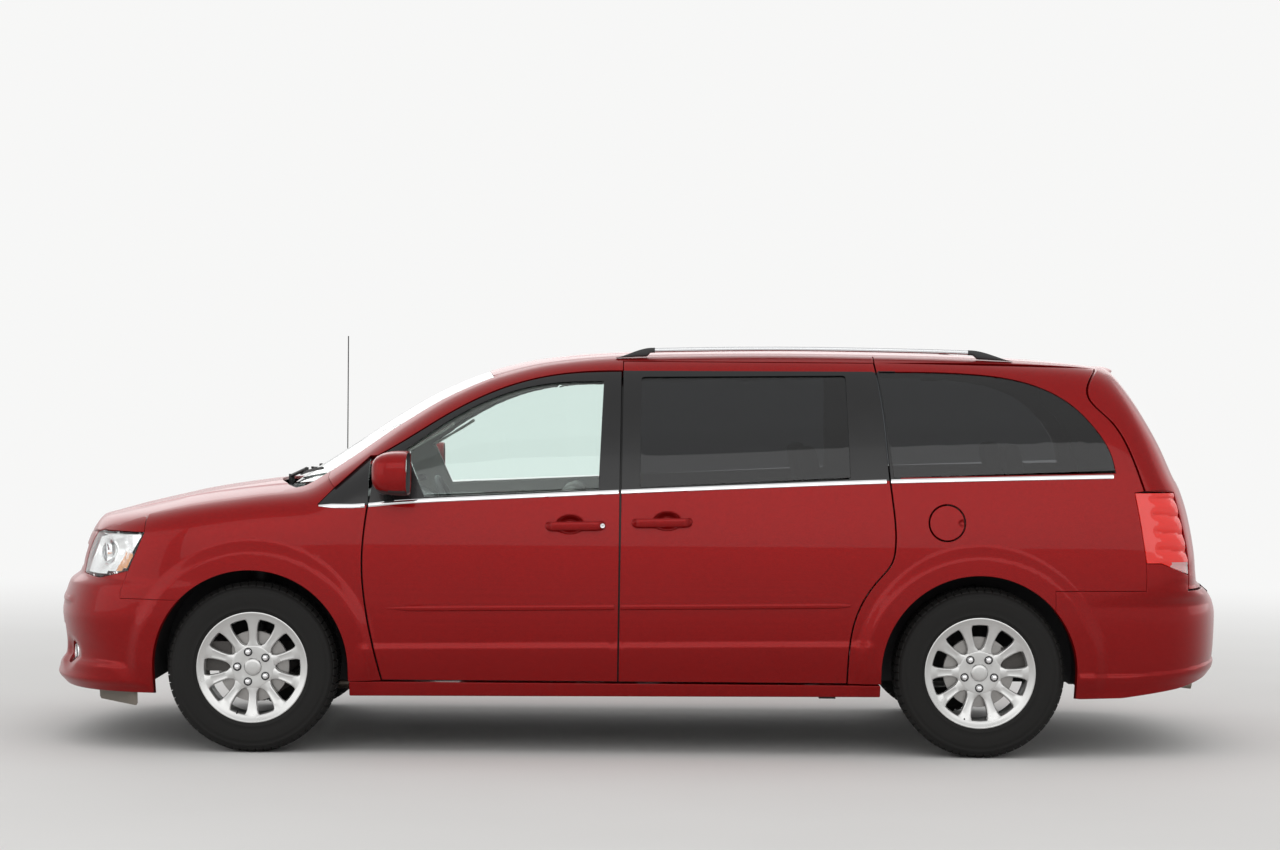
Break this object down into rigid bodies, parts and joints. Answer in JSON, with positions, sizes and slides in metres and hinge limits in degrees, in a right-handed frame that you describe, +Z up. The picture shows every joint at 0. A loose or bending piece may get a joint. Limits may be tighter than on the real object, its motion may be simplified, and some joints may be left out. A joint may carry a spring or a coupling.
{
  "type": "minivan",
  "caption": "Full-size family minivan with sliding side doors, opening front doors, bonnet, rear hatch and fuel flap, steered front wheels and a seven-seat cabin.",
  "frame": {"origin": "middle of the overall box at ground level, under the four tyres", "axes": "+X forward, +Y to the vehicle's left, +Z up"},
  "size_m": [5.1427, 2.392, 1.794],
  "materials": {
    "body_paint": "metallic clear coat",
    "clear_glass": "polished",
    "dark_glass": "polished",
    "black_trim": "satin",
    "lamp_clear": "polished",
    "lamp_red": "polished",
    "tyre": "matte",
    "alloy": "painted silver",
    "steel": "bare",
    "iron": "cast",
    "underseal": "matte",
    "cabin_trim": "grained",
    "cabin_fabric": "woven",
    "chrome": "polished"
  },
  "bodies": {
    "body": {"antenna": "black_trim", "bulkhead": "underseal", "cant_rails": "body_paint", "cowl_panel": "black_trim", "dashboard": "cabin_trim", "engine": "iron", "exhaust": "steel", "floor_well": "underseal", "front_bumper": "body_paint", "front_seats": "cabin_fabric", "front_structure": "underseal", "front_struts": "iron", "front_subframe": "iron", "front_wings": "body_paint", "grilles": "chrome", "headlamps": "lamp_clear", "middle_seats": "cabin_fabric", "pillar_covers": "black_trim", "quarter_panels": "body_paint", "rear_axle": "iron", "rear_bench": "cabin_fabric", "rear_bumper": "body_paint", "rear_side_glass": "dark_glass", "roof_panel": "body_paint", "roof_rails": "alloy", "sills": "body_paint", "sliding_door_handles": "body_paint", "sliding_doors": "body_paint", "tail_lamps": "lamp_red", "underbody": "underseal", "wheel_housings": "underseal", "windscreen": "clear_glass", "wipers": "black_trim"},
    "front_door_left": {"front_door_left": "body_paint", "front_door_glass_left": "clear_glass", "door_mirror_left": "body_paint", "front_handle_left": "body_paint"},
    "front_door_right": {"front_door_right": "body_paint", "front_door_glass_right": "clear_glass", "door_mirror_right": "body_paint", "front_handle_right": "body_paint"},
    "bonnet": {"bonnet": "body_paint"},
    "hatch": {"hatch": "body_paint", "hatch_glass": "dark_glass"},
    "fuel_door": {"fuel_door": "body_paint"},
    "steering_wheel": {"steering_wheel": "black_trim"},
    "knuckle_left": {"knuckle_left": "iron"},
    "knuckle_right": {"knuckle_right": "iron"},
    "front_left_wheel": {"front_left_wheel": "alloy", "front_left_tyre": "tyre"},
    "front_right_wheel": {"front_right_wheel": "alloy", "front_right_tyre": "tyre"},
    "rear_left_wheel": {"rear_left_wheel": "alloy", "rear_left_tyre": "tyre"},
    "rear_right_wheel": {"rear_right_wheel": "alloy", "rear_right_tyre": "tyre"}
  },
  "joints": [
    {"name": "front_door_left_swing", "type": "hinge", "parent": "body", "child": "front_door_left", "pos_m": [1.163, 0.986, 0.75], "axis": [0, 0, -1], "range_deg": [0, 65]},
    {"name": "front_door_right_swing", "type": "hinge", "parent": "body", "child": "front_door_right", "pos_m": [1.163, -0.986, 0.75], "axis": [0, 0, 1], "range_deg": [0, 65]},
    {"name": "bonnet_lift", "type": "hinge", "parent": "body", "child": "bonnet", "pos_m": [1.395, 0, 1.11], "axis": [0, -1, 0], "range_deg": [0, 50]},
    {"name": "hatch_lift", "type": "hinge", "parent": "body", "child": "hatch", "pos_m": [-1.985, 0, 1.694], "axis": [0, 1, 0], "range_deg": [0, 85]},
    {"name": "fuel_door_swing", "type": "hinge", "parent": "body", "child": "fuel_door", "pos_m": [-1.235, 0.943, 0.995], "axis": [0, 0, -1], "range_deg": [0, 110]},
    {"name": "steer_left", "type": "hinge", "parent": "body", "child": "knuckle_left", "pos_m": [1.622, 0.745, 0.361], "axis": [0, 0, 1], "range_deg": [-34, 34]},
    {"name": "steer_right", "type": "hinge", "parent": "body", "child": "knuckle_right", "pos_m": [1.622, -0.745, 0.361], "axis": [0, 0, 1], "range_deg": [-34, 34]},
    {"name": "steering_wheel_turn", "type": "hinge", "parent": "body", "child": "steering_wheel", "pos_m": [0.8, 0.4, 0.985], "axis": [-0.8988, 0, 0.4384], "range_deg": [-510, 510]},
    {"name": "front_left_roll", "type": "hinge", "parent": "knuckle_left", "child": "front_left_wheel", "pos_m": [1.622, 0.833, 0.361], "axis": [0, 1, 0], "continuous": true},
    {"name": "front_right_roll", "type": "hinge", "parent": "knuckle_right", "child": "front_right_wheel", "pos_m": [1.622, -0.833, 0.361], "axis": [0, 1, 0], "continuous": true},
    {"name": "rear_left_roll", "type": "hinge", "parent": "body", "child": "rear_left_wheel", "pos_m": [-1.456, 0.833, 0.361], "axis": [0, 1, 0], "continuous": true},
    {"name": "rear_right_roll", "type": "hinge", "parent": "body", "child": "rear_right_wheel", "pos_m": [-1.456, -0.833, 0.361], "axis": [0, 1, 0], "continuous": true}
  ],
  "couplings": [
    {"joint": "steer_right", "follows": "steer_left", "ratio": 1},
    {"joint": "steering_wheel_turn", "follows": "steer_left", "ratio": 15}
  ]
}
